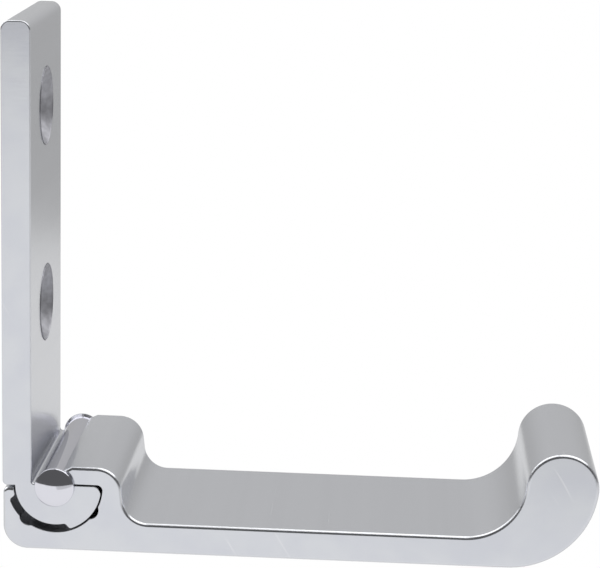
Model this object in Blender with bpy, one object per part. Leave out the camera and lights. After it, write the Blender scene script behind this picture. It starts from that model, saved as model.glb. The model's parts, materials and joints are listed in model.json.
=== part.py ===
"""A folding wall hook: an extruded wall plate, a swinging arm and the pin it turns on.

+X points out from the wall, +Z points up and Y runs along the hinge. The origin is on
the plate's back face, at mid-width, halfway between the two screw holes. Outlines are
drawn in millimetres around the hinge axis, and every piece has its origin on that axis.
"""
import math

import bmesh
import bpy
from mathutils import Vector

MM = 0.001

# Driving dimensions, in millimetres
WIDTH = 20.0                 # cut length of both extrusions, along Y
EDGE_BREAK = 0.25            # chamfer where the saw cut is deburred
HINGE_TO_WALL = 5.6          # hinge axis to the plate's back face
PLATE_THICKNESS = 3.1
PLATE_TOP = 49.25            # above the hinge axis
PLATE_CORNER = 1.0           # rounding of the plate's top edges
HOLE_HEIGHTS = (17.7, 39.2)  # screw holes, above the hinge axis
HOLE_DIAMETER = 4.5          # clears a 4 mm wood screw
COUNTERSINK_DIAMETER = 8.3   # 90 degree countersink for its head

PIN_RADIUS = 1.85
PIN_CLEARANCE = 0.1          # around the pin
PIN_HEAD_RADIUS = 2.1        # swaged ends, a little wider than the pin's seat
PIN_HEAD_GAP = 0.01          # between those ends and the saw cuts
PIN_HEAD_DEPTH = 0.4         # how far their straight sides stand off the saw cuts
PIN_ROUNDING = 0.12          # rim of the pin's domed ends
PIN_DOME_SLOPE = 38.0        # slope of the dome where it meets that rim, degrees

KNUCKLE_RADIUS = 4.92        # bearing surface of the knuckle
RECESS_RADIUS = 4.25         # relief under the knuckle that the arm's lip travels in
FOLD_STOP = (-75.2, -71.2)   # angles of the step that ends the fold, at its foot and its top
TOE_TOP = 0.15               # flat on the knuckle's toe that carries the arm's nose
TOE_ROUNDING = 0.85
LEDGE_TOP = 0.22             # flat between the pin and the plate
NOTCH_ROUNDING = 0.3         # where that ledge meets the plate's front
FOOT_HEIGHT = -0.05          # underside of the plate behind the knuckle
FOOT_ROUNDING = 0.5

RUNNING_GAP = 0.15           # between the arm's socket and the knuckle
ARM_TOP = -3.79              # top face of the straight arm, below the hinge axis
ARM_THICKNESS = 3.31
GROOVE_ANGLES = (-129.0, -34.0)  # two lubrication grooves in the socket
GROOVE_RADIUS = 1.0
GROOVE_DEPTH = 0.33
LIP_END = (-165.0, -161.5)   # angles of the lip's leading face, at its foot and its top
JAW_ROUNDING = 2.6           # the arm's lower corner beside the wall
JAW_TIP = -0.28              # top of the jaw, just under the plate's foot
JAW_TIP_ROUNDING = 0.65
SOCKET_CORNER = 0.6          # rounding inside the socket, over the toe
WALL_GAP = 0.05              # keeps the jaw off the wall

NOSE_TIP_ANGLE = 63.5        # how far the nose reaches over the pin
SHOULDER_TOP = 2.2           # flat top of the block beside the pin
SHOULDER_START = 1.8
SHOULDER_CENTER_X = 4.45     # centre of its rounded outer corner
SHOULDER_ROUNDING = 2.7

TROUGH_START = 9.95          # where the arm's straight top begins
BULB_CENTER = (53.6, 1.8)
BULB_RADIUS = 3.82
INNER_BEND = 6.25            # radius inside the turned-up end
OUTER_BEND = 9.4             # radius outside it

FINENESS = 0.008             # how far a facet may cut inside its arc


def facet_angle(radius):
    """Degrees that one facet of a circle of this radius may span."""
    return 2 * math.degrees(math.acos(1 - FINENESS / radius))


def arc(center, radius, start, end):
    """Points along an arc from one angle to another, in degrees, both ends included."""
    steps = max(2, math.ceil(abs(end - start) / facet_angle(radius)))
    angles = [math.radians(start + (end - start) * i / steps) for i in range(steps + 1)]
    return [(center[0] + radius * math.cos(a), center[1] + radius * math.sin(a)) for a in angles]


def polar(radius, angle):
    """The point at this radius and angle about the hinge axis."""
    return radius * math.cos(math.radians(angle)), radius * math.sin(math.radians(angle))


def angle_at_height(radius, height):
    """Angle, between -90 and 90 degrees, where a circle about the axis is this high."""
    return math.degrees(math.asin(height / radius))


def toe_corner(radius, top, rounding):
    """Rounded corner between a circle about the axis, left at the bottom, and a flat top."""
    height = top - rounding
    center = (math.sqrt((radius - rounding) ** 2 - height ** 2), height)
    return arc(center, rounding, angle_at_height(radius - rounding, height), 90.0)


def material(name, color, metallic, roughness):
    """A plain metal for one sub-part."""
    result = bpy.data.materials.new(name)
    result.use_nodes = True
    shader = result.node_tree.nodes["Principled BSDF"]
    shader.inputs["Base Color"].default_value = (*color, 1.0)
    shader.inputs["Metallic"].default_value = metallic
    shader.inputs["Roughness"].default_value = roughness
    return result


def add_object(name, bm, location):
    """Turn a millimetre bmesh around the hinge axis into an object in the scene."""
    bmesh.ops.remove_doubles(bm, verts=bm.verts, dist=1e-4)
    bmesh.ops.recalc_face_normals(bm, faces=bm.faces)
    bmesh.ops.scale(bm, vec=(MM, MM, MM), verts=bm.verts)
    mesh = bpy.data.meshes.new(name)
    bm.to_mesh(mesh)
    bm.free()
    mesh.shade_smooth()
    mesh.set_sharp_from_angle(angle=math.radians(30.0))
    piece = bpy.data.objects.new(name, mesh)
    piece.location = location
    bpy.context.collection.objects.link(piece)
    return piece


def extrusion(name, outline, location):
    """Saw a length of one aluminium section and deburr its cut ends."""
    bm = bmesh.new()
    ring = [bm.verts.new((x, -WIDTH / 2, z)) for x, z in outline]
    start = bm.faces.new(ring)
    swept = bmesh.ops.extrude_face_region(bm, geom=[start], use_keep_orig=True)
    far_verts = [v for v in swept["geom"] if isinstance(v, bmesh.types.BMVert)]
    bmesh.ops.translate(bm, vec=(0.0, WIDTH, 0.0), verts=far_verts)
    bmesh.ops.recalc_face_normals(bm, faces=bm.faces)
    cut_edges = [e for e in bm.edges if abs(e.verts[0].co.y - e.verts[1].co.y) < 1e-6]
    bmesh.ops.bevel(bm, geom=cut_edges, offset=EDGE_BREAK, segments=1, affect="EDGES")
    return add_object(name, bm, location)


def turned(name, profile, location):
    """Spin a half profile of (radius, place along Y) points about the Y axis."""
    bm = bmesh.new()
    points = [bm.verts.new((radius, y, 0.0)) for radius, y in profile]
    edges = [bm.edges.new(pair) for pair in zip(points, points[1:])]
    steps = 4 * math.ceil(90.0 / facet_angle(max(radius for radius, y in profile)))
    bmesh.ops.spin(bm, geom=points + edges, cent=(0.0, 0.0, 0.0), axis=(0.0, 1.0, 0.0),
                   angle=math.tau, steps=steps, use_merge=True)
    return add_object(name, bm, location)


def plate_outline():
    """Flat plate with the hinge knuckle rolled under its foot."""
    back = -HINGE_TO_WALL
    front = back + PLATE_THICKNESS
    cradle = PIN_RADIUS + PIN_CLEARANCE
    points = []
    points += arc((front - PLATE_CORNER, PLATE_TOP - PLATE_CORNER), PLATE_CORNER, 0.0, 90.0)
    points += arc((back + PLATE_CORNER, PLATE_TOP - PLATE_CORNER), PLATE_CORNER, 90.0, 180.0)
    points += arc((back + FOOT_ROUNDING, FOOT_HEIGHT + FOOT_ROUNDING), FOOT_ROUNDING, 180.0, 270.0)
    recess_start = -180.0 - angle_at_height(RECESS_RADIUS, FOOT_HEIGHT)
    points += arc((0.0, 0.0), RECESS_RADIUS, recess_start, FOLD_STOP[0])
    toe = toe_corner(KNUCKLE_RADIUS, TOE_TOP, TOE_ROUNDING)
    bearing_end = math.degrees(math.atan2(toe[0][1], toe[0][0]))
    points += arc((0.0, 0.0), KNUCKLE_RADIUS, FOLD_STOP[1], bearing_end)
    points += toe[1:]
    cradle_end = -180.0 - angle_at_height(cradle, LEDGE_TOP)
    points += arc((0.0, 0.0), cradle, angle_at_height(cradle, TOE_TOP), cradle_end)
    notch = (front + NOTCH_ROUNDING, LEDGE_TOP + NOTCH_ROUNDING)
    points += arc(notch, NOTCH_ROUNDING, 270.0, 180.0)
    return points


def socket_points():
    """Inside of the arm's socket from the lip to the toe, with its two grooves."""
    radius = KNUCKLE_RADIUS + RUNNING_GAP
    offset = radius + GROOVE_DEPTH - GROOVE_RADIUS
    cosine = (radius ** 2 + offset ** 2 - GROOVE_RADIUS ** 2) / (2 * radius * offset)
    half = math.degrees(math.acos(cosine))
    rim = polar(radius, half)
    flare = math.degrees(math.atan2(rim[1], rim[0] - offset))
    points = []
    angle = LIP_END[1]
    for groove in GROOVE_ANGLES:
        points += arc((0.0, 0.0), radius, angle, groove - half)[:-1]
        points += arc(polar(offset, groove), GROOVE_RADIUS, groove - flare, groove + flare)
        angle = groove + half
    corner = toe_corner(radius, TOE_TOP + RUNNING_GAP, SOCKET_CORNER)
    last = math.degrees(math.atan2(corner[0][1], corner[0][0]))
    return points + arc((0.0, 0.0), radius, angle, last)[1:] + corner[1:]


def bend_center(radius, height, distance):
    """Centre of a bend at this height and this far from the bulb's centre."""
    rise = BULB_CENTER[1] - height
    return BULB_CENTER[0] - math.sqrt(distance ** 2 - rise ** 2), height


def arm_outline():
    """Socket, nose and shoulder at the hinge, then the straight arm and its bulb."""
    nose = PIN_RADIUS + PIN_CLEARANCE
    bottom = ARM_TOP - ARM_THICKNESS
    jaw = WALL_GAP - HINGE_TO_WALL

    # the shoulder's outer corner and the hollow that follows share a slanting tangent
    shoulder = (SHOULDER_CENTER_X, SHOULDER_TOP - SHOULDER_ROUNDING)
    hollow = (TROUGH_START, ARM_TOP + SHOULDER_ROUNDING)
    run = Vector(hollow) - Vector(shoulder)
    lean = math.degrees(math.atan2(run.y, run.x) + math.acos(2 * SHOULDER_ROUNDING / run.length))

    # the turned-up end: two bends, each tangent to the bulb
    inner = bend_center(INNER_BEND, ARM_TOP + INNER_BEND, BULB_RADIUS + INNER_BEND)
    outer = bend_center(OUTER_BEND, bottom + OUTER_BEND, OUTER_BEND - BULB_RADIUS)
    to_bulb = math.degrees(math.atan2(BULB_CENTER[1] - inner[1], BULB_CENTER[0] - inner[0]))
    from_outer = math.degrees(math.atan2(BULB_CENTER[1] - outer[1], BULB_CENTER[0] - outer[0]))

    points = []
    points += arc((jaw + JAW_ROUNDING, bottom + JAW_ROUNDING), JAW_ROUNDING, 270.0, 180.0)
    points += arc((jaw + JAW_TIP_ROUNDING, JAW_TIP - JAW_TIP_ROUNDING), JAW_TIP_ROUNDING, 180.0, 90.0)
    lip = RECESS_RADIUS + RUNNING_GAP
    points += arc((0.0, 0.0), lip, -180.0 - angle_at_height(lip, JAW_TIP), LIP_END[0])
    points += socket_points()
    points += arc((0.0, 0.0), nose, angle_at_height(nose, TOE_TOP + RUNNING_GAP), NOSE_TIP_ANGLE)
    points += [(SHOULDER_START, SHOULDER_TOP)]
    points += arc(shoulder, SHOULDER_ROUNDING, 90.0, lean)
    points += arc(hollow, SHOULDER_ROUNDING, 180.0 + lean, 270.0)
    points += arc(inner, INNER_BEND, -90.0, to_bulb)
    points += arc(BULB_CENTER, BULB_RADIUS, 180.0 + to_bulb, from_outer)[1:]
    points += arc(outer, OUTER_BEND, from_outer, -90.0)[1:]
    return points


def pin_profile():
    """Straight pin with a wider, gently domed head swaged on each end."""
    slope = math.radians(PIN_DOME_SLOPE)
    rim = PIN_HEAD_RADIUS - PIN_ROUNDING
    stand_off = WIDTH / 2 + PIN_HEAD_DEPTH
    dome_edge = rim + PIN_ROUNDING * math.sin(slope)
    sphere = dome_edge / math.sin(slope)
    crown = stand_off + PIN_ROUNDING * math.cos(slope) + sphere * (1 - math.cos(slope))
    half = arc((crown - sphere, 0.0), sphere, 0.0, PIN_DOME_SLOPE)
    half += arc((stand_off, rim), PIN_ROUNDING, PIN_DOME_SLOPE, 90.0)[1:]
    half += [(WIDTH / 2 + PIN_HEAD_GAP, PIN_HEAD_RADIUS), (WIDTH / 2 + PIN_HEAD_GAP, PIN_RADIUS)]
    near = [(radius, -y) for y, radius in half]
    far = [(radius, y) for y, radius in reversed(half)]
    return near + far


def screw_cutter(name, height, location):
    """Through hole with a countersink that opens on the plate's front."""
    front = PLATE_THICKNESS - HINGE_TO_WALL
    spare = 0.5
    hole = HOLE_DIAMETER / 2
    mouth = COUNTERSINK_DIAMETER / 2
    profile = [(0.0, -PLATE_THICKNESS - spare), (hole, -PLATE_THICKNESS - spare),
               (hole, hole - mouth), (mouth + spare, spare), (0.0, spare)]
    cutter = turned(name, profile, location + Vector((front, 0.0, height)) * MM)
    # the profile was turned about Y, and +Y has to point out of the plate's front
    cutter.rotation_euler.z = math.radians(-90.0)
    cutter.hide_render = True
    cutter.display_type = "WIRE"
    return cutter


def build():
    for old in list(bpy.data.objects):
        bpy.data.objects.remove(old)

    mid_hole = sum(HOLE_HEIGHTS) / len(HOLE_HEIGHTS)
    hinge = Vector((HINGE_TO_WALL, 0.0, -mid_hole)) * MM

    plate = extrusion("wall_plate", plate_outline(), hinge)
    plate.data.materials.append(material("satin_plate", (0.62, 0.63, 0.66), 1.0, 0.32))
    for number, height in enumerate(HOLE_HEIGHTS, 1):
        cut = plate.modifiers.new(f"screw_hole_{number}", "BOOLEAN")
        cut.operation = "DIFFERENCE"
        cut.solver = "EXACT"
        cut.object = screw_cutter(f"screw_cutter_{number}", height, hinge)
    plate.modifiers.new("flat_shading", "WEIGHTED_NORMAL").keep_sharp = True

    arm = extrusion("hook_arm", arm_outline(), hinge)
    arm.data.materials.append(material("satin_arm", (0.64, 0.65, 0.68), 1.0, 0.30))

    pin = turned("hinge_pin", pin_profile(), hinge)
    pin.data.materials.append(material("polished_pin", (0.55, 0.56, 0.58), 1.0, 0.12))


build()
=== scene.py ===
"""A folding wall hook held out level, as it hangs on its wall plate, in plain studio light."""
import json
import math

import bmesh
import bpy
from mathutils import Matrix, Vector


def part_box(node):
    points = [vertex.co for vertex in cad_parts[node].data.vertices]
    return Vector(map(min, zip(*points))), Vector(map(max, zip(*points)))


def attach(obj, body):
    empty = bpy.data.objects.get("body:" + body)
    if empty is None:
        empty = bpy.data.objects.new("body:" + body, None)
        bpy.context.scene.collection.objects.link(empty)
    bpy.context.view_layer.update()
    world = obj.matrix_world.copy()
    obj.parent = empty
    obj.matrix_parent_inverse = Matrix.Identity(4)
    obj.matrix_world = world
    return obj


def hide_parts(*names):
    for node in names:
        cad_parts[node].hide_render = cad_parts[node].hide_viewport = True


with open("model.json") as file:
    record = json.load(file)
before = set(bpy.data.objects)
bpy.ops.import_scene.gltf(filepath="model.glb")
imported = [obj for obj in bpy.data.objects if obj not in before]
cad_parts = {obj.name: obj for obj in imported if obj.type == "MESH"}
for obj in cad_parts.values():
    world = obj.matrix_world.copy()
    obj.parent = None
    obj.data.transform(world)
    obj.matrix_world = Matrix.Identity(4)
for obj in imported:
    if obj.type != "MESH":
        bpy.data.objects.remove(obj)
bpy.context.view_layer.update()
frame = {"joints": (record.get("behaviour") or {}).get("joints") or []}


# --- Wall plate -------------------------------------------------------------------------
# A 20 mm length sawn from an aluminium extrusion, satin anodised. The flat bar turns under
# at its foot into a half-round knuckle, and two countersunk holes take the screws that
# hold it to the wall.

MM = 0.001
BAR_THICKNESS = 3.1
BAR_TOP = 49.25                # heights are above the hinge axis
BAR_CORNER = 1.0
CRADLE = 1.95                  # half-round seat of the pin
KNUCKLE = 4.92                 # bearing surface the arm turns on
RECESS = 4.25                  # relief that the arm's lip travels in
STEP_FOOT = -75.2              # degrees about the hinge, where the recess ends
STEP_TOP = -71.2
TOE_TOP = 0.15
TOE_CORNER = 0.85
LEDGE_TOP = 0.22
RUBBED = 0.09                  # worn edge where the pin was driven in
NOTCH = 0.3
FOOT = -0.05
FOOT_CORNER = 0.5
TUMBLED = 0.15                 # rounding of the plate's outer cut edges
EASED = 0.19                   # easing of the corners that meet when it folds
DEBURRED = 0.07                # rounding of the cut edges inside the joint
SCREW_HOLE = 4.5
COUNTERSINK = 8.3
SCREW_HEIGHTS = (17.7, 39.2)
RIM_BREAK = 0.08               # small bevel at the mouth of each countersink
FACET = 3.0                    # degrees of arc to one facet
CORNER_FACETS = 5
TOUCHING = 0.002               # places closer than this are one
SLACK = 0.02                   # allowed when edges are picked by their place

hinge = Vector(frame["joints"][0]["pos_m"])
near_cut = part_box("wall_plate")[0].y
far_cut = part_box("wall_plate")[1].y
back = (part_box("wall_plate")[0].x - hinge.x) / MM
front = back + BAR_THICKNESS


def place(x, z):
    """A point of the near saw cut, from millimetres out and up from the hinge axis."""
    return hinge + Vector((x * MM, near_cut - hinge.y, z * MM))


def polar(radius, angle):
    """A point at this radius and angle about the hinge axis."""
    return radius * math.cos(math.radians(angle)), radius * math.sin(math.radians(angle))


def rise(radius, height):
    """The angle where a circle about the hinge axis is this high."""
    return math.degrees(math.asin(height / radius))


def keep_active(name):
    """Name the new primitive and put its place in its mesh."""
    piece = bpy.context.object
    piece.name = name
    piece.data.name = name
    bpy.ops.object.transform_apply(location=True, rotation=True, scale=True)
    return piece


def pick(piece, test, kind="verts"):
    """In edit mode, select only the vertices, edges or faces that pass a test."""
    bpy.ops.mesh.select_mode(type={"verts": "VERT", "edges": "EDGE", "faces": "FACE"}[kind])
    bpy.ops.mesh.select_all(action="DESELECT")
    bm = bmesh.from_edit_mesh(piece.data)
    for item in getattr(bm, kind):
        item.select = test(item)
    bm.select_flush_mode()
    bmesh.update_edit_mesh(piece.data)


def pick_end(piece, x, z):
    """Take up the outline's end nearest to a point."""
    target = place(x, z)
    verts = bmesh.from_edit_mesh(piece.data).verts
    nearest = min((v.co - target).length for v in verts)
    pick(piece, lambda v: (v.co - target).length < nearest + TOUCHING / 10 * MM)


def loose_end(piece):
    """Where the outline's selected end is."""
    return next(v.co.copy() for v in bmesh.from_edit_mesh(piece.data).verts if v.select)


def line_to(piece, x, z):
    """Extrude the outline's end straight to a point."""
    step = place(x, z) - loose_end(piece)
    bpy.ops.mesh.extrude_region_move(TRANSFORM_OT_translate={"value": step})


def turn(center, angle):
    """Spin the outline's end about a centre, anticlockwise when the angle is positive."""
    bpy.ops.mesh.spin(steps=max(2, math.ceil(abs(angle) / FACET)), angle=math.radians(angle),
                      center=place(*center), axis=(0, 1, 0))


def saw_off(piece, soft_corners):
    """Close the outline, ease some corners and extrude it to the far saw cut."""
    bpy.ops.mesh.select_all(action="SELECT")
    bpy.ops.mesh.remove_doubles(threshold=TOUCHING * MM)
    bpy.ops.mesh.edge_face_add()
    for corner in soft_corners:
        pick_end(piece, *corner)
        bpy.ops.mesh.bevel(offset=EASED * MM, segments=CORNER_FACETS, affect="VERTICES")
    bpy.ops.mesh.select_all(action="SELECT")
    across = (0, far_cut - near_cut, 0)
    bpy.ops.mesh.extrude_region_move(TRANSFORM_OT_translate={"value": across})
    bpy.ops.mesh.select_all(action="SELECT")
    bpy.ops.mesh.normals_make_consistent(inside=False)


def on_cut(edge):
    """Whether an edge lies round one of the two saw cuts."""
    start, end = (v.co.y for v in edge.verts)
    to_cut = min(abs(start - near_cut), abs(start - far_cut))
    return max(to_cut, abs(start - end)) < TOUCHING * MM


def spot(edge):
    """Middle of an edge, in millimetres out and up from the hinge axis."""
    middle = (edge.verts[0].co + edge.verts[1].co) / 2 - hinge
    return middle.x / MM, middle.z / MM


def round_cut_edges(piece, rounding_mm, in_joint):
    """Round the saw cuts' edges, and only lightly where they lie in the joint."""
    pick(piece, on_cut, "edges")
    bpy.ops.transform.edge_bevelweight(value=1.0)
    pick(piece, lambda e: on_cut(e) and in_joint(*spot(e)), "edges")
    bpy.ops.transform.edge_bevelweight(value=DEBURRED / rounding_mm - 1.0)
    bpy.ops.object.mode_set(mode="OBJECT")
    rounding = piece.modifiers.new("cut_edges", "BEVEL")
    rounding.limit_method = "WEIGHT"
    rounding.width = rounding_mm * MM
    rounding.segments = CORNER_FACETS
    rounding.use_clamp_overlap = False
    bpy.ops.object.modifier_apply(modifier="cut_edges")


def smooth(piece):
    """Shade the rounded surfaces smooth and keep the flat ones flat."""
    bpy.ops.object.shade_smooth_by_angle(angle=math.radians(31))
    flat = piece.modifiers.new("flat_faces", "WEIGHTED_NORMAL")
    flat.keep_sharp = True
    bpy.ops.object.modifier_apply(modifier="flat_faces")


# the bar's cut face, as an outline with its two top corners rounded
bpy.ops.object.select_all(action="DESELECT")
bpy.ops.mesh.primitive_plane_add(size=1, rotation=(math.radians(90), 0, 0),
                                 location=place((back + front) / 2, BAR_TOP / 2))
bpy.context.object.scale = (BAR_THICKNESS * MM, BAR_TOP * MM, 1)
plate = keep_active("plate_body")
bpy.ops.object.mode_set(mode="EDIT")
pick(plate, lambda v: v.co.z > hinge.z + BAR_TOP / 2 * MM)
bpy.ops.mesh.bevel(offset=BAR_CORNER * MM, segments=30, affect="VERTICES")
bpy.ops.mesh.select_all(action="SELECT")
bpy.ops.mesh.delete(type="ONLY_FACE")

# down the back, round the foot and along the recess to the step that ends the fold
pick(plate, lambda e: abs(spot(e)[1]) < SLACK, "edges")
bpy.ops.mesh.delete(type="EDGE")
pick_end(plate, front, 0.0)
bpy.ops.transform.translate(value=(0, 0, (LEDGE_TOP + NOTCH) * MM))
pick_end(plate, back, 0.0)
bpy.ops.transform.translate(value=(0, 0, (FOOT + FOOT_CORNER) * MM))
turn((back + FOOT_CORNER, FOOT + FOOT_CORNER), 90)
recess_start = -180 - rise(RECESS, FOOT)
line_to(plate, *polar(RECESS, recess_start))
turn((0, 0), STEP_FOOT - recess_start)
line_to(plate, *polar(KNUCKLE, STEP_TOP))

# the bearing surface, the rounded toe, and the seat the pin lies in
toe_height = TOE_TOP - TOE_CORNER
toe_angle = rise(KNUCKLE - TOE_CORNER, toe_height)
turn((0, 0), toe_angle - STEP_TOP)
turn(polar(KNUCKLE - TOE_CORNER, toe_angle), 90 - toe_angle)
line_to(plate, *polar(CRADLE, rise(CRADLE, TOE_TOP)))
turn((0, 0), -180 - rise(CRADLE, LEDGE_TOP - RUBBED) - rise(CRADLE, TOE_TOP))
line_to(plate, -CRADLE - RUBBED, LEDGE_TOP)
line_to(plate, front + NOTCH, LEDGE_TOP)
turn((front + NOTCH, LEDGE_TOP + NOTCH), -90)
saw_off(plate, [polar(KNUCKLE, STEP_TOP), polar(RECESS, STEP_FOOT)])


def plate_in_joint(x, z):
    """Whether a point of the plate's outline belongs to the knuckle or the pin's seat."""
    foot = x < SLACK - RECESS and z > FOOT - SLACK
    return math.hypot(x, z) < KNUCKLE + SLACK and z < LEDGE_TOP - SLACK and not foot


round_cut_edges(plate, TUMBLED, plate_in_joint)

# each screw hole is drilled and countersunk in one go, by a bit with a flared shank
flare = (COUNTERSINK - SCREW_HOLE) / 2
bit_tip = 4.0                  # how far the bit's end lies from its middle at first
for number, height in enumerate(SCREW_HEIGHTS, 1):
    bpy.ops.object.select_all(action="DESELECT")
    bpy.ops.mesh.primitive_cylinder_add(vertices=96, radius=SCREW_HOLE / 2 * MM,
                                        depth=2 * bit_tip * MM,
                                        rotation=(0, math.radians(90), 0),
                                        location=hinge + Vector((back, 0, height)) * MM)
    bit = keep_active(f"screw_bit_{number}")
    bpy.ops.object.mode_set(mode="EDIT")
    pick(bit, lambda f: f.normal.x > 0.9, "faces")
    bpy.ops.transform.translate(value=((BAR_THICKNESS - flare - bit_tip) * MM, 0, 0))
    bpy.ops.mesh.extrude_region_move(TRANSFORM_OT_translate={"value": (flare * MM, 0, 0)})
    wider = COUNTERSINK / SCREW_HOLE
    bpy.ops.transform.resize(value=(1, wider, wider),
                             center_override=hinge + Vector((front, 0, height)) * MM)
    bpy.ops.mesh.extrude_region_move(TRANSFORM_OT_translate={"value": (flare * MM, 0, 0)})
    bpy.ops.object.mode_set(mode="OBJECT")
    bpy.ops.object.select_all(action="DESELECT")
    bpy.context.view_layer.objects.active = plate
    plate.select_set(True)
    drill = plate.modifiers.new("drill", "BOOLEAN")
    drill.solver = "EXACT"
    drill.object = bit
    bpy.ops.object.modifier_apply(modifier="drill")
    bpy.data.objects.remove(bit)


def from_hole(point):
    """Distance from the nearer screw hole's axis, in millimetres."""
    across, up = (point.y - hinge.y) / MM, (point.z - hinge.z) / MM
    return min(math.hypot(across, up - height) for height in SCREW_HEIGHTS)


def at_mouth(edge):
    """Whether an edge lies on the rim of a countersink."""
    return all(abs((v.co.x - hinge.x) / MM - front) < TOUCHING
               and abs(from_hole(v.co) - COUNTERSINK / 2) < TOUCHING for v in edge.verts)


# the bit leaves a small broken edge at the mouth of each countersink
bpy.ops.object.mode_set(mode="EDIT")
pick(plate, at_mouth, "edges")
bpy.ops.mesh.bevel(offset=RIM_BREAK * MM, segments=3)
bpy.ops.object.mode_set(mode="OBJECT")
smooth(plate)


def add_node(nodes, kind, x, y, **values):
    """One node of a material, with its settings and unlinked inputs."""
    node = nodes.new(kind)
    node.location = (x, y)
    for key, value in values.items():
        if key in node.inputs:
            node.inputs[key].default_value = value
        else:
            setattr(node, key, value)
    return node


def extruded_aluminium(name, tint):
    """Satin anodised extrusion: faint die lines run along Y, over an even matt etch."""
    material = bpy.data.materials.new(name)
    material.use_nodes = True
    nodes = material.node_tree.nodes
    links = material.node_tree.links
    shader = nodes["Principled BSDF"]
    shader.inputs["Metallic"].default_value = 1.0
    spots = add_node(nodes, "ShaderNodeTexCoord", -1200, 0)
    along = add_node(nodes, "ShaderNodeMapping", -1000, 200, Scale=(1.0, 0.004, 1.0))
    links.new(spots.outputs["Object"], along.inputs["Vector"])
    bands = add_node(nodes, "ShaderNodeTexNoise", -800, 400, Scale=500.0, Detail=3.0,
                     Roughness=0.55)
    lines = add_node(nodes, "ShaderNodeTexNoise", -800, 150, Scale=5200.0, Detail=3.0,
                     Roughness=0.7)
    etch = add_node(nodes, "ShaderNodeTexNoise", -800, -150, Scale=16000.0, Detail=2.0)
    links.new(along.outputs["Vector"], bands.inputs["Vector"])
    links.new(along.outputs["Vector"], lines.inputs["Vector"])
    links.new(spots.outputs["Object"], etch.inputs["Vector"])
    color = add_node(nodes, "ShaderNodeValToRGB", -500, 400)
    color.color_ramp.elements[0].position = 0.3
    color.color_ramp.elements[0].color = (tint[0] * 0.97, tint[1] * 0.97, tint[2] * 0.97, 1)
    color.color_ramp.elements[1].position = 0.7
    color.color_ramp.elements[1].color = (*tint, 1)
    links.new(bands.outputs["Fac"], color.inputs["Fac"])
    links.new(color.outputs["Color"], shader.inputs["Base Color"])
    gloss = add_node(nodes, "ShaderNodeMapRange", -500, 100)
    gloss.inputs["To Min"].default_value = 0.2
    gloss.inputs["To Max"].default_value = 0.3
    links.new(lines.outputs["Fac"], gloss.inputs["Value"])
    links.new(gloss.outputs["Result"], shader.inputs["Roughness"])
    height = add_node(nodes, "ShaderNodeMath", -500, -150, operation="MULTIPLY_ADD")
    height.inputs[1].default_value = 0.25
    links.new(etch.outputs["Fac"], height.inputs[0])
    links.new(lines.outputs["Fac"], height.inputs[2])
    relief = add_node(nodes, "ShaderNodeBump", -250, -150, Strength=0.25, Distance=0.000004)
    links.new(height.outputs["Value"], relief.inputs["Height"])
    links.new(relief.outputs["Normal"], shader.inputs["Normal"])
    return material


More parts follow.
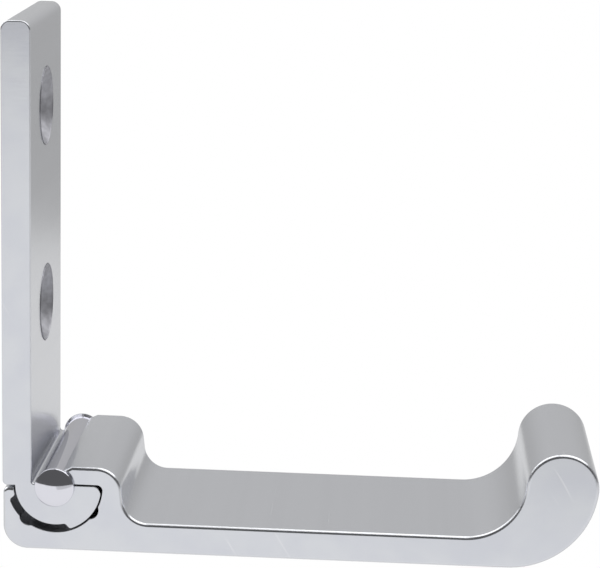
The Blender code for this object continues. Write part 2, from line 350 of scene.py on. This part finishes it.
def sawn_aluminium(name, tint):
    """Saw cut rubbed down on fine paper: long hair scratches and a few deeper ones, the deeper
    ones real relief with a painted glint of lighter colour.
    """
    material = bpy.data.materials.new(name)
    material.use_nodes = True
    nodes = material.node_tree.nodes
    links = material.node_tree.links
    shader = nodes["Principled BSDF"]
    shader.inputs["Metallic"].default_value = 1.0
    spots = add_node(nodes, "ShaderNodeTexCoord", -1200, 0)
    rubbed = add_node(nodes, "ShaderNodeMapping", -1000, 200, Scale=(0.03, 1.0, 1.0))
    rubbed.inputs["Rotation"].default_value = (0, math.radians(4), 0)
    scored = add_node(nodes, "ShaderNodeMapping", -1000, -200, vector_type="TEXTURE",
                      Scale=(16.0, 1.0, 1.0))
    scored.inputs["Rotation"].default_value = (0, math.radians(58), 0)
    links.new(spots.outputs["Object"], rubbed.inputs["Vector"])
    links.new(spots.outputs["Object"], scored.inputs["Vector"])
    hair = add_node(nodes, "ShaderNodeTexNoise", -800, 200, Scale=9000.0, Detail=3.0,
                    Roughness=0.7)
    deep = add_node(nodes, "ShaderNodeTexNoise", -800, -200, Scale=1300.0, Detail=2.0)
    cloud = add_node(nodes, "ShaderNodeTexNoise", -800, 500, Scale=260.0, Detail=3.0)
    links.new(rubbed.outputs["Vector"], hair.inputs["Vector"])
    links.new(scored.outputs["Vector"], deep.inputs["Vector"])
    links.new(spots.outputs["Object"], cloud.inputs["Vector"])
    color = add_node(nodes, "ShaderNodeValToRGB", -500, 500)
    color.color_ramp.elements[0].position = 0.35
    color.color_ramp.elements[0].color = (tint[0] * 0.95, tint[1] * 0.95, tint[2] * 0.97, 1)
    color.color_ramp.elements[1].position = 0.65
    color.color_ramp.elements[1].color = (*tint, 1)
    links.new(cloud.outputs["Fac"], color.inputs["Fac"])
    # the deeper scratches' lighter colour is a painted glint
    painted_scratch_glint = add_node(nodes, "ShaderNodeMix", -150, 400, data_type="RGBA")
    painted_scratch_glint.inputs[6].default_value = (0.69, 0.70, 0.735, 1)
    links.new(color.outputs["Color"], painted_scratch_glint.inputs[7])
    links.new(painted_scratch_glint.outputs[2], shader.inputs["Base Color"])
    gloss = add_node(nodes, "ShaderNodeMapRange", -500, 200)
    gloss.inputs["To Min"].default_value = 0.12
    gloss.inputs["To Max"].default_value = 0.22
    links.new(hair.outputs["Fac"], gloss.inputs["Value"])
    links.new(gloss.outputs["Result"], shader.inputs["Roughness"])
    # mask of the deeper scratches: it gives their relief and where the painted glint goes
    deep_scratches_and_glint = add_node(nodes, "ShaderNodeValToRGB", -500, -200)
    deep_scratches_and_glint.color_ramp.elements[0].position = 0.69
    deep_scratches_and_glint.color_ramp.elements[0].color = (1, 1, 1, 1)
    deep_scratches_and_glint.color_ramp.elements[1].position = 0.74
    deep_scratches_and_glint.color_ramp.elements[1].color = (0, 0, 0, 1)
    links.new(deep.outputs["Fac"], deep_scratches_and_glint.inputs["Fac"])
    links.new(deep_scratches_and_glint.outputs["Color"], painted_scratch_glint.inputs[0])
    height = add_node(nodes, "ShaderNodeMath", -300, -100, operation="MULTIPLY_ADD")
    height.inputs[1].default_value = 0.3
    links.new(hair.outputs["Fac"], height.inputs[0])
    links.new(deep_scratches_and_glint.outputs["Color"], height.inputs[2])
    relief = add_node(nodes, "ShaderNodeBump", -150, -150, Strength=0.3, Distance=0.000004)
    links.new(height.outputs["Value"], relief.inputs["Height"])
    links.new(relief.outputs["Normal"], shader.inputs["Normal"])
    return material


def shade_painted_metal(name, tint):
    """Rough bare metal with random smears of tone, in a dark tint that paints the shade in a
    hollow or gap.
    """
    material = bpy.data.materials.new(name)
    material.use_nodes = True
    nodes = material.node_tree.nodes
    links = material.node_tree.links
    shader = nodes["Principled BSDF"]
    shader.inputs["Metallic"].default_value = 1.0
    shader.inputs["Roughness"].default_value = 0.5
    spots = add_node(nodes, "ShaderNodeTexCoord", -800, 0)
    smears = add_node(nodes, "ShaderNodeTexNoise", -600, 0, Scale=1500.0, Detail=4.0)
    links.new(spots.outputs["Object"], smears.inputs["Vector"])
    color = add_node(nodes, "ShaderNodeValToRGB", -300, 0)
    color.color_ramp.elements[0].color = (tint * 0.6, tint * 0.6, tint * 0.64, 1)
    color.color_ramp.elements[1].color = (tint * 1.4, tint * 1.4, tint * 1.5, 1)
    links.new(smears.outputs["Fac"], color.inputs["Fac"])
    links.new(color.outputs["Color"], shader.inputs["Base Color"])
    return material


anodised = extruded_aluminium("satin_extrusion", (0.65, 0.66, 0.69))
sawn = sawn_aluminium("rubbed_saw_cut", (0.66, 0.675, 0.71))


def finish_surfaces(piece):
    """Extruded finish all over, with the saw-cut finish on the two ends."""
    piece.data.materials.append(anodised)
    piece.data.materials.append(sawn)
    for face in piece.data.polygons:
        face.material_index = 1 if abs(face.normal.y) > 0.97 else 0


finish_surfaces(plate)
# the pin's seat gets a near-black material: painted shade in the gap between the pin and its seat
plate.data.materials.append(shade_painted_metal("seat_painted_shade", 0.085))
# the countersinks get a darker material: painted shade inside the holes
plate.data.materials.append(shade_painted_metal("countersinks_painted_shade", 0.36))
for face in plate.data.polygons:
    out, up = (face.center.x - hinge.x) / MM, (face.center.z - hinge.z) / MM
    within_cradle = math.hypot(out, up) < CRADLE + RUBBED / 2 and up < LEDGE_TOP - SLACK
    # the seat's faces take the painted shade
    if within_cradle and abs(face.normal.y) < 0.5:
        face.material_index = 2
    # the countersinks' faces take the painted shade
    if from_hole(face.center) < COUNTERSINK / 2 + RIM_BREAK and abs(face.normal.x) < 0.995:
        face.material_index = 3
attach(plate, "plate")
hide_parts("wall_plate")


# --- Hinge pin --------------------------------------------------------------------------
# A polished steel pin that lies in the knuckle's half-round seat. It is turned from drawn
# bar, and its two ends are swaged into heads with a rounded rim and a gently domed face.

PIN = 1.85
PIN_HEAD = 2.1                 # the heads are a little wider than the seat
HEAD_GAP = 0.01                # between each head and the saw cut beside it
HEAD_DEPTH = 0.4
HEAD_EDGE = 0.03               # small bevel behind the near head
FAR_FLARE = 0.2                # taper behind the far head
PIN_RIM = 0.12
RIM_RINGS = 4
DOME_SLOPE = 38.0
DOME_RINGS = 14

bpy.ops.object.select_all(action="DESELECT")
bpy.ops.mesh.primitive_cylinder_add(vertices=128, radius=PIN * MM, depth=far_cut - near_cut,
                                    rotation=(math.radians(90), 0, 0), location=hinge)
pin = keep_active("turned_pin")
bpy.ops.object.mode_set(mode="EDIT")
rim = PIN_HEAD - PIN_RIM
dome_edge = rim + PIN_RIM * math.sin(math.radians(DOME_SLOPE))
sphere = dome_edge / math.sin(math.radians(DOME_SLOPE))
behind_near = [(PIN, HEAD_GAP), (PIN_HEAD - HEAD_EDGE, HEAD_GAP), (PIN_HEAD, HEAD_GAP + HEAD_EDGE)]
behind_far = [(PIN, HEAD_GAP), (PIN_HEAD, HEAD_GAP + FAR_FLARE)]
lift = HEAD_DEPTH + (PIN_RIM - sphere) * math.cos(math.radians(DOME_SLOPE))
face_of_head = []
for ring in range(RIM_RINGS + 1):
    slope = math.radians((90 - DOME_SLOPE) * ring / RIM_RINGS)
    face_of_head.append((rim + PIN_RIM * math.cos(slope), HEAD_DEPTH + PIN_RIM * math.sin(slope)))
for ring in range(1, DOME_RINGS):
    slope = math.radians(DOME_SLOPE * (1 - ring / DOME_RINGS))
    face_of_head.append((sphere * math.sin(slope), lift + sphere * math.cos(slope)))


def bar_end(side):
    """The test for the bar's cut end on one side."""
    cut = near_cut if side < 0 else far_cut
    return lambda f: f.normal.y * side > 0.9 and abs(f.verts[0].co.y - cut) < TOUCHING * MM


for side, behind in ((-1, behind_near), (1, behind_far)):
    pick(pin, bar_end(side), "faces")
    radius, height = PIN, 0.0
    for next_radius, next_height in behind + face_of_head:
        bpy.ops.mesh.extrude_region_move(
            TRANSFORM_OT_translate={"value": (0, side * (next_height - height) * MM, 0)})
        scale = next_radius / radius
        bpy.ops.transform.resize(value=(scale, 1, scale), center_override=hinge)
        radius, height = next_radius, next_height
    bpy.ops.mesh.extrude_region_move(
        TRANSFORM_OT_translate={"value": (0, side * (lift + sphere - height) * MM, 0)})
    bpy.ops.mesh.merge(type="CENTER")
bpy.ops.object.mode_set(mode="OBJECT")
smooth(pin)


def polished_steel(name, tint):
    """Turned and polished steel, with faint rings from the lathe on its ends."""
    material = bpy.data.materials.new(name)
    material.use_nodes = True
    nodes = material.node_tree.nodes
    links = material.node_tree.links
    shader = nodes["Principled BSDF"]
    shader.inputs["Metallic"].default_value = 1.0
    spots = add_node(nodes, "ShaderNodeTexCoord", -1000, 0)
    center = add_node(nodes, "ShaderNodeMapping", -800, 0)
    center.inputs["Location"].default_value = (-hinge.x, 0, -hinge.z)
    links.new(spots.outputs["Object"], center.inputs["Vector"])
    rings = add_node(nodes, "ShaderNodeTexWave", -600, 0, wave_type="RINGS", rings_direction="Y",
                     Scale=2600.0, Distortion=1.5, Detail=2.0)
    links.new(center.outputs["Vector"], rings.inputs["Vector"])
    color = add_node(nodes, "ShaderNodeMix", -300, 200, data_type="RGBA")
    color.inputs[6].default_value = (tint * 0.97, tint * 0.97, tint * 1.05, 1)
    color.inputs[7].default_value = (tint * 1.03, tint * 1.03, tint * 1.11, 1)
    links.new(rings.outputs["Fac"], color.inputs["Factor"])
    links.new(color.outputs[2], shader.inputs["Base Color"])
    gloss = add_node(nodes, "ShaderNodeMapRange", -300, 0)
    gloss.inputs["To Min"].default_value = 0.06
    gloss.inputs["To Max"].default_value = 0.1
    links.new(rings.outputs["Fac"], gloss.inputs["Value"])
    links.new(gloss.outputs["Result"], shader.inputs["Roughness"])
    relief = add_node(nodes, "ShaderNodeBump", -300, -200, Strength=0.05, Distance=0.000002)
    links.new(rings.outputs["Fac"], relief.inputs["Height"])
    links.new(relief.outputs["Normal"], shader.inputs["Normal"])
    return material


pin.data.materials.append(polished_steel("polished_steel", 0.70))
pin.data.materials.append(polished_steel("drawn_steel", 0.58))
for face in pin.data.polygons:
    face.material_index = 1 if near_cut < face.center.y < far_cut else 0
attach(pin, "plate")
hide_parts("hinge_pin")


# --- Hook arm ---------------------------------------------------------------------------
# A length of a second aluminium extrusion, sawn and finished like the plate. Its C-shaped
# socket slides on over the knuckle from the side, its nose rests on the knuckle's toe when
# it is down, and its turned-up end is a round bulb.

RUNNING_GAP = 0.15
NOSE = CRADLE                  # hollow under the nose, as round as the pin's seat
ARM_TOP = -3.79
ARM_THICKNESS = 3.31
GROOVES = (-129.0, -34.0)      # degrees about the hinge
GROOVE_RADIUS = 1.0
GROOVE_DEPTH = 0.33
LIP_FOOT = -165.0
LIP_TOP = -161.5
JAW_CORNER = 2.6
JAW_TIP = -0.28
JAW_TIP_CORNER = 0.65
SOCKET_CORNER = 0.6            # inside corner over the toe
WALL_GAP = 0.05
NOSE_TIP = 63.5
SHOULDER_TOP = 2.2
SHOULDER_START = 1.8
SHOULDER_X = 4.45
SHOULDER_CORNER = 2.7
TROUGH = 9.95
ARM_TUMBLED = 0.37             # hands meet the arm's cut edges, so they are rounder
BULB_X = 53.6
BULB_Z = 1.8
BULB = 3.82
INNER_BEND = 6.25
OUTER_BEND = 9.4

arm_foot = ARM_TOP - ARM_THICKNESS
jaw = back + WALL_GAP
inner = (BULB_X - math.sqrt((BULB + INNER_BEND) ** 2 - (BULB_Z - ARM_TOP - INNER_BEND) ** 2),
         ARM_TOP + INNER_BEND)
outer = (BULB_X - math.sqrt((OUTER_BEND - BULB) ** 2 - (BULB_Z - arm_foot - OUTER_BEND) ** 2),
         arm_foot + OUTER_BEND)
waist = math.degrees(math.atan2(BULB_Z - inner[1], BULB_X - inner[0]))
heel = math.degrees(math.atan2(BULB_Z - outer[1], BULB_X - outer[0]))

# the bulb's round end, open where the two bends run into it
bpy.ops.object.select_all(action="DESELECT")
bpy.ops.mesh.primitive_circle_add(vertices=120, radius=BULB * MM, location=place(BULB_X, BULB_Z),
                                  rotation=(math.radians(90), 0, 0))
arm = keep_active("arm_body")
bpy.ops.object.mode_set(mode="EDIT")


def outside_bulb_end(vert):
    """Whether a vertex lies on the part of the bulb that the bends replace."""
    offset = vert.co - place(BULB_X, BULB_Z)
    angle = math.degrees(math.atan2(offset.z, offset.x))
    return angle < heel + FACET / 2 or angle > 180 + waist - FACET / 2


pick(arm, outside_bulb_end)
bpy.ops.mesh.delete(type="VERT")

# round the inside of the bend, along the top and up over the shoulder
waist_point = (BULB_X + BULB * math.cos(math.radians(180 + waist)),
               BULB_Z + BULB * math.sin(math.radians(180 + waist)))
pick_end(arm, *waist_point)
line_to(arm, *waist_point)
turn(inner, -90 - waist)
line_to(arm, TROUGH, ARM_TOP)
shoulder = (SHOULDER_X, SHOULDER_TOP - SHOULDER_CORNER)
hollow = (TROUGH, ARM_TOP + SHOULDER_CORNER)
run = Vector(hollow) - Vector(shoulder)
lean = math.degrees(math.atan2(run.y, run.x) + math.acos(2 * SHOULDER_CORNER / run.length))
turn(hollow, lean - 90)
line_to(arm, shoulder[0] + SHOULDER_CORNER * math.cos(math.radians(lean)),
        shoulder[1] + SHOULDER_CORNER * math.sin(math.radians(lean)))
turn(shoulder, 90 - lean)
line_to(arm, SHOULDER_START, SHOULDER_TOP)

# under the nose, over the toe and round the socket with its two grooves
rest = TOE_TOP + RUNNING_GAP
line_to(arm, *polar(NOSE, NOSE_TIP))
turn((0, 0), rise(NOSE, rest) - NOSE_TIP)
socket = KNUCKLE + RUNNING_GAP
corner_angle = rise(socket - SOCKET_CORNER, rest - SOCKET_CORNER)
corner = polar(socket - SOCKET_CORNER, corner_angle)
line_to(arm, corner[0], rest)
turn(corner, corner_angle - 90)
groove_center = socket + GROOVE_DEPTH - GROOVE_RADIUS
half = math.degrees(math.acos((socket ** 2 + groove_center ** 2 - GROOVE_RADIUS ** 2)
                              / (2 * socket * groove_center)))
mouth = polar(socket, half)
groove_turn = math.degrees(math.atan2(mouth[1], mouth[0] - groove_center))
angle = corner_angle
for groove in sorted(GROOVES, reverse=True):
    turn((0, 0), groove + half - angle)
    turn(polar(groove_center, groove), -2 * groove_turn)
    angle = groove - half
turn((0, 0), LIP_TOP - angle)

# the lip, the jaw beside the wall and the underside, back to the bulb
lip = RECESS + RUNNING_GAP
line_to(arm, *polar(lip, LIP_FOOT))
jaw_angle = -180 - rise(lip, JAW_TIP)
turn((0, 0), jaw_angle - LIP_FOOT)
line_to(arm, jaw + JAW_TIP_CORNER, JAW_TIP)
turn((jaw + JAW_TIP_CORNER, JAW_TIP - JAW_TIP_CORNER), 90)
line_to(arm, jaw, arm_foot + JAW_CORNER)
turn((jaw + JAW_CORNER, arm_foot + JAW_CORNER), 90)
line_to(arm, outer[0], arm_foot)
turn(outer, 90 + heel)
pick(arm, lambda v: len(v.link_edges) == 1)
bpy.ops.mesh.edge_face_add()
saw_off(arm, [polar(socket, LIP_TOP), polar(lip, LIP_FOOT)])


def arm_in_joint(x, z):
    """Whether a point of the arm's outline belongs to the socket or the nose's hollow."""
    reach = math.hypot(x, z)
    jaw_end = x < jaw + JAW_TIP_CORNER + SLACK or (x < 0 and z > JAW_TIP - SLACK)
    near_socket = reach < socket + GROOVE_DEPTH + SLACK and z < rest + SLACK
    return reach < NOSE + SLACK or (near_socket and not jaw_end)


round_cut_edges(arm, ARM_TUMBLED, arm_in_joint)
smooth(arm)
finish_surfaces(arm)
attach(arm, "arm")
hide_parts("hook_arm")


# --- Floor and studio -------------------------------------------------------------------
# A wide pale floor well below the hook. What the metal mirrors is a small studio, in metres:
# a lit table, a grey wall beyond it, a dim room behind the camera, and two soft boxes overhead.

FLOOR_DROP = 0.12
FLOOR_REACH = 100
TABLE_NEAR = -1.9
TABLE_FAR = 0.72
TABLE_REACH = 1.8
SHADE = 0.3                    # how much darker the table's front right part is
SHADE_X = (0.0, 0.1)           # where that shade fades in
SHADE_Y = (-0.37, -0.46)
FAR_Y = (-0.1, 0.2)            # where the table's light falls off towards its far side
FAR_LIGHT = 0.82
BOX_HEIGHT = 1.0
BOX_SLOPE = 28.0
BOX_DEPTH = 1.4
BOX_POWER = 6.7                # watts to each metre of a box's width
WALL_LIGHT = (0.455, 0.61)     # the grey wall, from its foot up
WALL_RISE = (-0.2, 0.35)       # how steeply it is seen at those two lights
ROOM_LIGHT = 0.12
ROOM_Y = (-0.4, 0.5)           # directions over which the room passes into the wall


def glowing(name):
    """A surface that gives off its own even white light."""
    material = bpy.data.materials.new(name)
    material.use_nodes = True
    shader = material.node_tree.nodes["Principled BSDF"]
    shader.inputs["Base Color"].default_value = (0.0, 0.0, 0.0, 1)
    shader.inputs["Specular IOR Level"].default_value = 0.0
    shader.inputs["Emission Color"].default_value = (1.0, 1.0, 1.0, 1)
    shader.inputs["Emission Strength"].default_value = 1.0
    return material


def fade(nodes, x, y, start, end, **values):
    """A passage between two values of its input, even unless it is told to be smooth."""
    node = add_node(nodes, "ShaderNodeMapRange", x, y, **values)
    node.inputs["From Min"].default_value = start
    node.inputs["From Max"].default_value = end
    return node


def lay_out(name, low, high, height):
    """A flat rectangle of the studio, between two corners."""
    bpy.ops.object.select_all(action="DESELECT")
    bpy.ops.mesh.primitive_plane_add(size=1)
    sheet = keep_active(name)
    bpy.ops.object.mode_set(mode="EDIT")
    bpy.ops.transform.resize(value=(high[0] - low[0], high[1] - low[1], 1))
    bpy.ops.transform.translate(value=((low[0] + high[0]) / 2, (low[1] + high[1]) / 2, height))
    bpy.ops.object.mode_set(mode="OBJECT")
    return sheet


floor_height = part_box("hook_arm")[0].z - FLOOR_DROP
floor = lay_out("floor", (-FLOOR_REACH, -FLOOR_REACH), (FLOOR_REACH, FLOOR_REACH),
                floor_height - MM)
floor.data.materials.append(glowing("pale_floor"))
floor.visible_glossy = False
floor.visible_diffuse = False

table = lay_out("table", (-TABLE_REACH, TABLE_NEAR), (TABLE_REACH, TABLE_FAR), floor_height)
table.visible_camera = False
table_light = glowing("lit_table")
table.data.materials.append(table_light)
nodes = table_light.node_tree.nodes
links = table_light.node_tree.links
spots = add_node(nodes, "ShaderNodeTexCoord", -900, 0)
split = add_node(nodes, "ShaderNodeSeparateXYZ", -700, 0)
links.new(spots.outputs["Object"], split.inputs["Vector"])
right = fade(nodes, -500, 100, *SHADE_X, interpolation_type="SMOOTHSTEP")
links.new(split.outputs["X"], right.inputs["Value"])
front_side = fade(nodes, -500, -200, *SHADE_Y, interpolation_type="SMOOTHSTEP")
links.new(split.outputs["Y"], front_side.inputs["Value"])
shade = add_node(nodes, "ShaderNodeMath", -300, 0, operation="MULTIPLY")
links.new(right.outputs["Result"], shade.inputs[0])
links.new(front_side.outputs["Result"], shade.inputs[1])
strength = add_node(nodes, "ShaderNodeMath", -150, 0, operation="MULTIPLY_ADD")
strength.inputs[1].default_value = -SHADE
links.new(shade.outputs["Value"], strength.inputs[0])
falloff = fade(nodes, -300, 300, *FAR_Y, interpolation_type="SMOOTHSTEP")
falloff.inputs["To Min"].default_value = 1.0
falloff.inputs["To Max"].default_value = FAR_LIGHT
links.new(split.outputs["Y"], falloff.inputs["Value"])
links.new(falloff.outputs["Result"], strength.inputs[2])
links.new(strength.outputs["Value"], nodes["Principled BSDF"].inputs["Emission Strength"])

# two soft boxes slope up towards each other and leave a narrow gap just left of the hook
slope = math.radians(BOX_SLOPE)
for name, side, gap, half_width, y in (("soft_box_left", -1, 0.10, 0.75, 0.5),
                                       ("soft_box_right", 1, -0.04, 0.5, 0.2)):
    box = bpy.data.lights.new(name, "AREA")
    box.shape = "RECTANGLE"
    box.size = 2 * half_width
    box.size_y = BOX_DEPTH
    box.energy = BOX_POWER * box.size
    lamp = bpy.data.objects.new(name, box)
    lamp.location = (side * (gap + half_width * math.cos(slope)), y,
                     BOX_HEIGHT - half_width * math.sin(slope))
    lamp.rotation_euler = (0, side * slope, 0)
    bpy.context.scene.collection.objects.link(lamp)

# the wall and the room; where nothing else stands the camera sees plain white
world = bpy.data.worlds.new("studio")
world.use_nodes = True
bpy.context.scene.world = world
nodes = world.node_tree.nodes
links = world.node_tree.links
background = nodes["Background"]
background.inputs["Color"].default_value = (1, 1, 1, 1)
direction = add_node(nodes, "ShaderNodeTexCoord", -900, 0)
split = add_node(nodes, "ShaderNodeSeparateXYZ", -700, 0)
links.new(direction.outputs["Generated"], split.inputs["Vector"])
wall = fade(nodes, -500, 200, *WALL_RISE)
wall.inputs["To Min"].default_value = WALL_LIGHT[0]
wall.inputs["To Max"].default_value = WALL_LIGHT[1]
links.new(split.outputs["Z"], wall.inputs["Value"])
beyond = fade(nodes, -500, -100, *ROOM_Y, interpolation_type="SMOOTHSTEP")
links.new(split.outputs["Y"], beyond.inputs["Value"])
room = add_node(nodes, "ShaderNodeMix", -250, 0, data_type="FLOAT")
room.inputs[2].default_value = ROOM_LIGHT
links.new(beyond.outputs["Result"], room.inputs[0])
links.new(wall.outputs["Result"], room.inputs[3])
seen = add_node(nodes, "ShaderNodeLightPath", -250, 300)
backdrop = add_node(nodes, "ShaderNodeMix", -50, 0, data_type="FLOAT")
backdrop.inputs[3].default_value = 1.0
links.new(seen.outputs["Is Camera Ray"], backdrop.inputs[0])
links.new(room.outputs[0], backdrop.inputs[2])
links.new(backdrop.outputs[0], background.inputs["Strength"])

camera = bpy.data.cameras.new("camera")
camera.sensor_width = 36.0
camera.lens = 133.2
camera.clip_start = 0.01
camera.clip_end = 50.0
camera_object = bpy.data.objects.new("camera", camera)
camera_object.matrix_world = (Matrix.Translation((0.04104, -0.23295, 0.04615))
                              @ Matrix.Rotation(math.radians(2.563), 4, "Z")
                              @ Matrix.Rotation(math.radians(90 - 13.023), 4, "X")
                              @ Matrix.Rotation(math.radians(1.477), 4, "Z"))
bpy.context.scene.collection.objects.link(camera_object)
bpy.context.scene.camera = camera_object
bpy.context.scene.view_settings.view_transform = "Standard"
